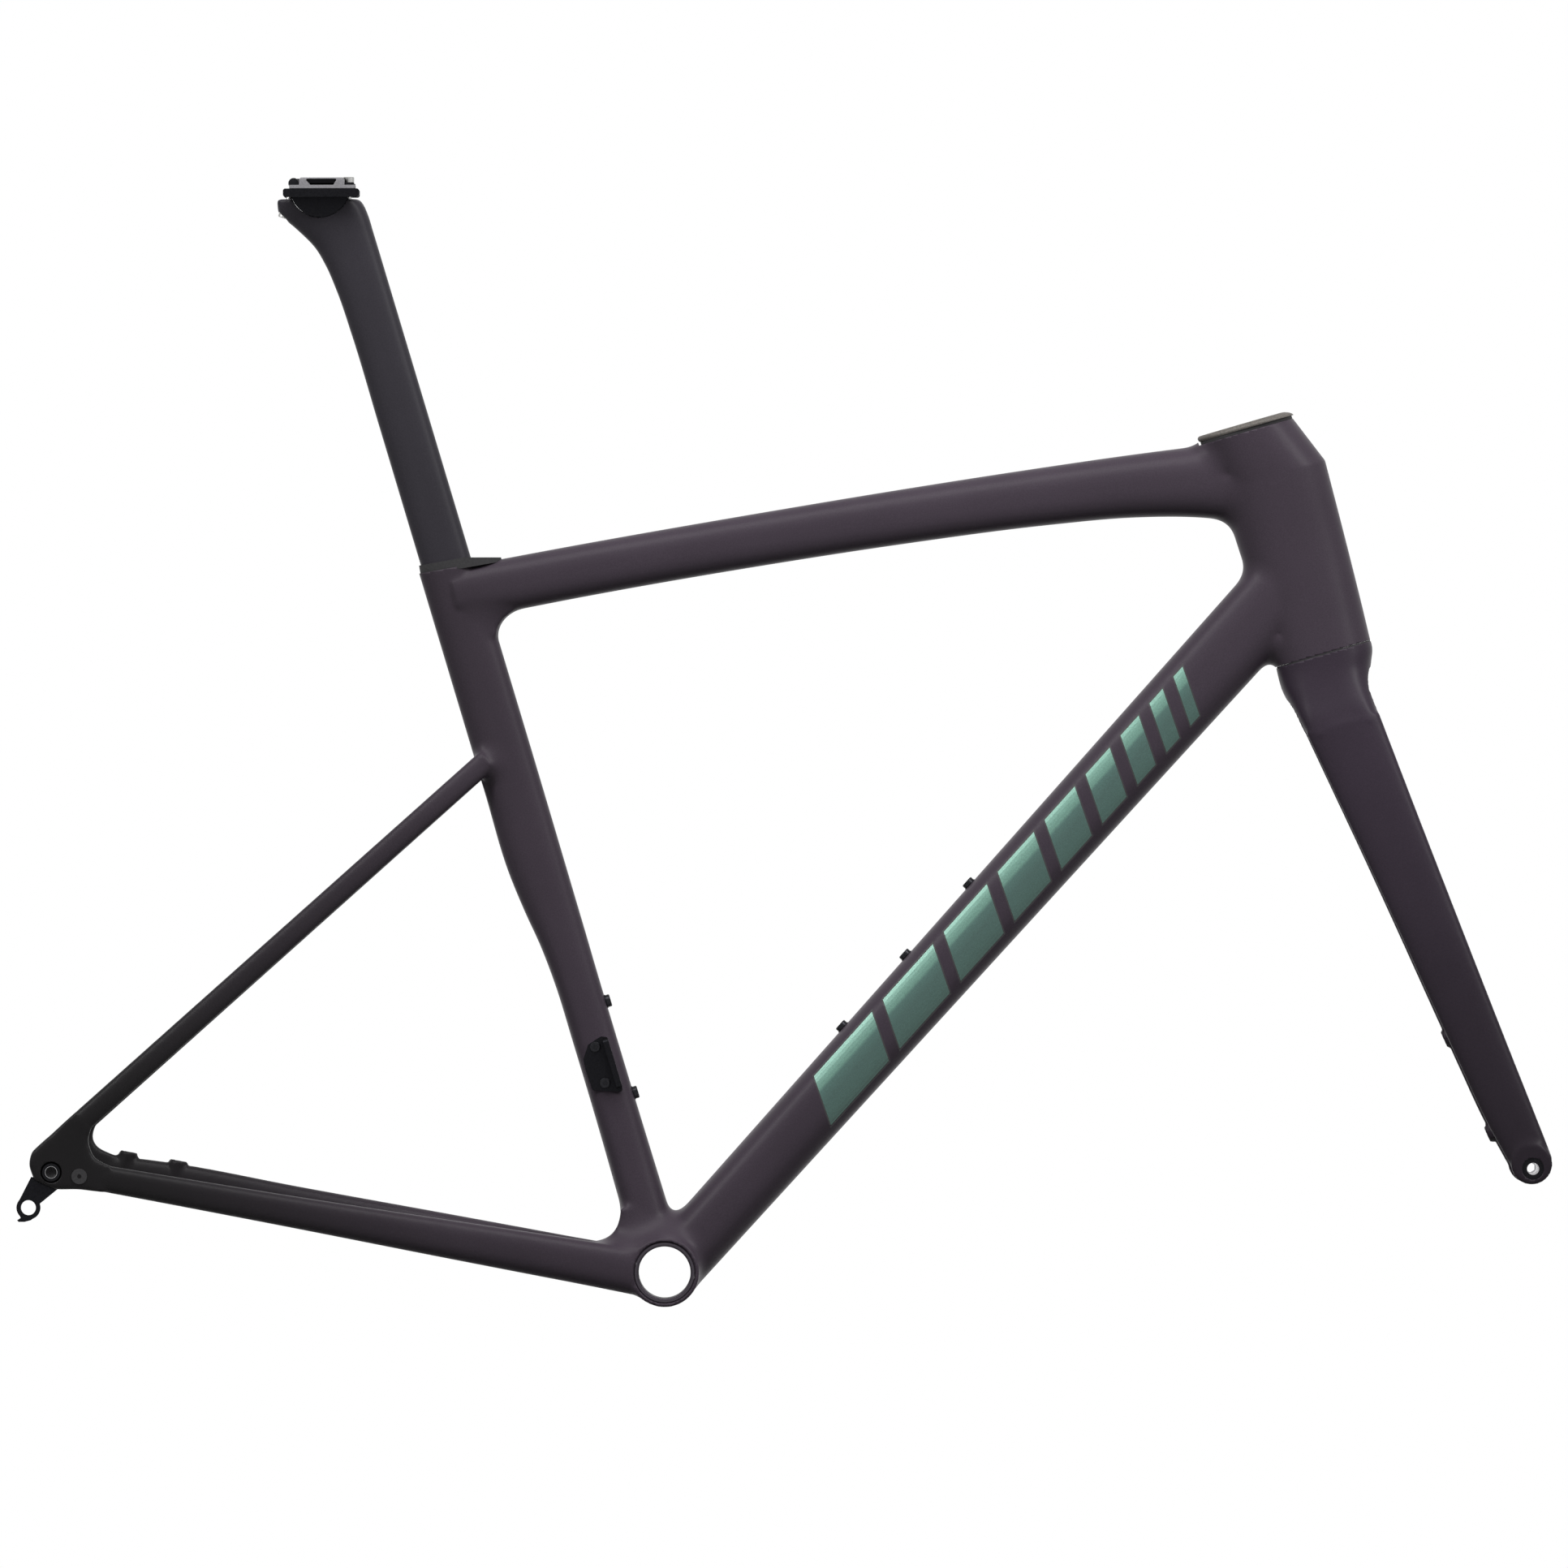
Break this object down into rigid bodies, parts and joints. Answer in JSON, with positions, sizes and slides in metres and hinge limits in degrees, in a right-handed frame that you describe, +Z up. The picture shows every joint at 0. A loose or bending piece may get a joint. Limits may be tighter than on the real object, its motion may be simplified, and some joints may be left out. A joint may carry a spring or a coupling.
{
  "type": "bicycle frameset",
  "caption": "Carbon road racing bicycle frameset with fork, aero seatpost, saddle clamp, headset and thru-axles; steers, and the post and clamp adjust.",
  "frame": {"origin": "middle of the bottom bracket shell, on the crank axis", "axes": "+X forward towards the front wheel, +Z up with both axles level, drive side (chain side) -Y"},
  "size_m": [1.027, 0.1635, 0.7575],
  "materials": {
    "frame_coat": "satin clear coat over a dark aubergine-grey carbon moulding",
    "rear_coat": "satin near-black coat over carbon",
    "fork_coat": "satin clear coat over a dark carbon moulding",
    "post_coat": "satin dark coat over carbon",
    "cover_grey": "fine-grained warm grey moulding",
    "raw_carbon": "bare carbon laminate",
    "rubber": "matte black rubber",
    "black_alloy": "black anodised, satin",
    "silver_alloy": "bare machined aluminium",
    "bearing_steel": "ground bearing steel",
    "black_steel": "black oxide steel bolts",
    "bright_steel": "bright zinc-plated steel"
  },
  "bodies": {
    "frame": {"head_tube": "frame_coat", "upper_bearing_outer_race": "bearing_steel", "lower_bearing_outer_race": "bearing_steel", "bottom_bracket_shell": "frame_coat", "bottom_bracket_threaded_sleeve": "black_alloy", "top_tube": "frame_coat", "seat_tube": "frame_coat", "down_tube": "frame_coat", "chainstay_drive_side": "rear_coat", "chainstay_brake_side": "rear_coat", "rear_brake_bolt_sleeves": "silver_alloy", "seatstay_drive_side": "rear_coat", "seatstay_brake_side": "rear_coat", "dropout_drive_side": "rear_coat", "derailleur_hanger": "black_alloy", "shift_wire_grommet": "rubber", "dropout_brake_side": "rear_coat", "rear_axle_insert": "silver_alloy", "down_tube_bottle_inserts": "silver_alloy", "down_tube_bottle_bolts": "black_steel", "seat_tube_bottle_inserts": "silver_alloy", "seat_tube_bottle_bolts": "black_steel", "front_derailleur_plate": "black_alloy", "front_derailleur_screws": "black_steel", "seatpost_seal": "rubber", "wedge_housing": "black_alloy", "wedge_bolt": "black_steel"},
    "fork": {"steerer_tube": "raw_carbon", "fork_crown": "fork_coat", "crown_race": "black_alloy", "fork_leg_drive_side": "fork_coat", "fork_leg_brake_side": "fork_coat", "front_brake_thread_inserts": "silver_alloy", "front_axle_insert": "black_alloy", "upper_bearing_inner_race": "bearing_steel", "upper_bearing_balls": "bearing_steel", "lower_bearing_inner_race": "bearing_steel", "lower_bearing_balls": "bearing_steel", "compression_ring": "black_alloy", "headset_cover": "cover_grey", "expander_plug": "black_alloy", "headset_cap_bolt": "black_steel"},
    "seatpost": {"seatpost": "post_coat"},
    "saddle_clamp": {"saddle_lower_cradle": "black_alloy", "saddle_upper_clamp": "black_alloy"},
    "rear_bolt": {"rear_clamp_bolt": "bright_steel", "rear_barrel_washer": "bright_steel"},
    "rear_nut": {"rear_barrel_nut": "bright_steel"},
    "front_bolt": {"front_clamp_bolt": "bright_steel", "front_barrel_washer": "bright_steel"},
    "wedge_shoe": {"wedge_shoe": "black_alloy"},
    "front_axle": {"front_thru_axle": "black_alloy"},
    "rear_axle": {"rear_thru_axle": "black_alloy"}
  },
  "joints": [
    {"name": "steering", "type": "hinge", "parent": "frame", "child": "fork", "pos_m": [0.4372, 0, 0.41205], "axis": [-0.2756, 0, 0.9613], "range_deg": [-60, 60]},
    {"name": "seatpost_height", "type": "slide", "parent": "frame", "child": "seatpost", "axis": [-0.2849, 0, 0.9586], "range_m": [-0.07, 0.045]},
    {"name": "saddle_tilt", "type": "hinge", "parent": "seatpost", "child": "saddle_clamp", "pos_m": [-0.2296, 0, 0.7274], "axis": [0, 1, 0], "range_deg": [-8, 8]},
    {"name": "rear_bolt_lean", "type": "hinge", "parent": "seatpost", "child": "rear_bolt", "pos_m": [-0.2534, 0, 0.7096], "axis": [0, 1, 0], "range_deg": [-4, 4]},
    {"name": "rear_nut_turn", "type": "hinge", "parent": "saddle_clamp", "child": "rear_nut", "pos_m": [-0.247, 0, 0.73015], "axis": [0, 1, 0], "range_deg": [-10, 10]},
    {"name": "front_bolt_turn", "type": "hinge", "parent": "saddle_clamp", "child": "front_bolt", "pos_m": [-0.2103, 0, 0.7287], "axis": [0, 1, 0], "range_deg": [-9, 9]},
    {"name": "wedge_climb", "type": "slide", "parent": "frame", "child": "wedge_shoe", "axis": [-0.3995, 0, 0.9167], "range_m": [-0.002, 0.002]},
    {"name": "front_axle_pull", "type": "slide", "parent": "fork", "child": "front_axle", "axis": [0, 1, 0], "range_m": [0, 0.13]},
    {"name": "rear_axle_pull", "type": "slide", "parent": "frame", "child": "rear_axle", "axis": [0, 1, 0], "range_m": [0, 0.17]}
  ],
  "couplings": [
    {"joint": "rear_bolt_lean", "follows": "saddle_tilt", "ratio": -0.1202},
    {"joint": "rear_nut_turn", "follows": "saddle_tilt", "ratio": -1.1202},
    {"joint": "front_bolt_turn", "follows": "saddle_tilt", "ratio": -1}
  ]
}
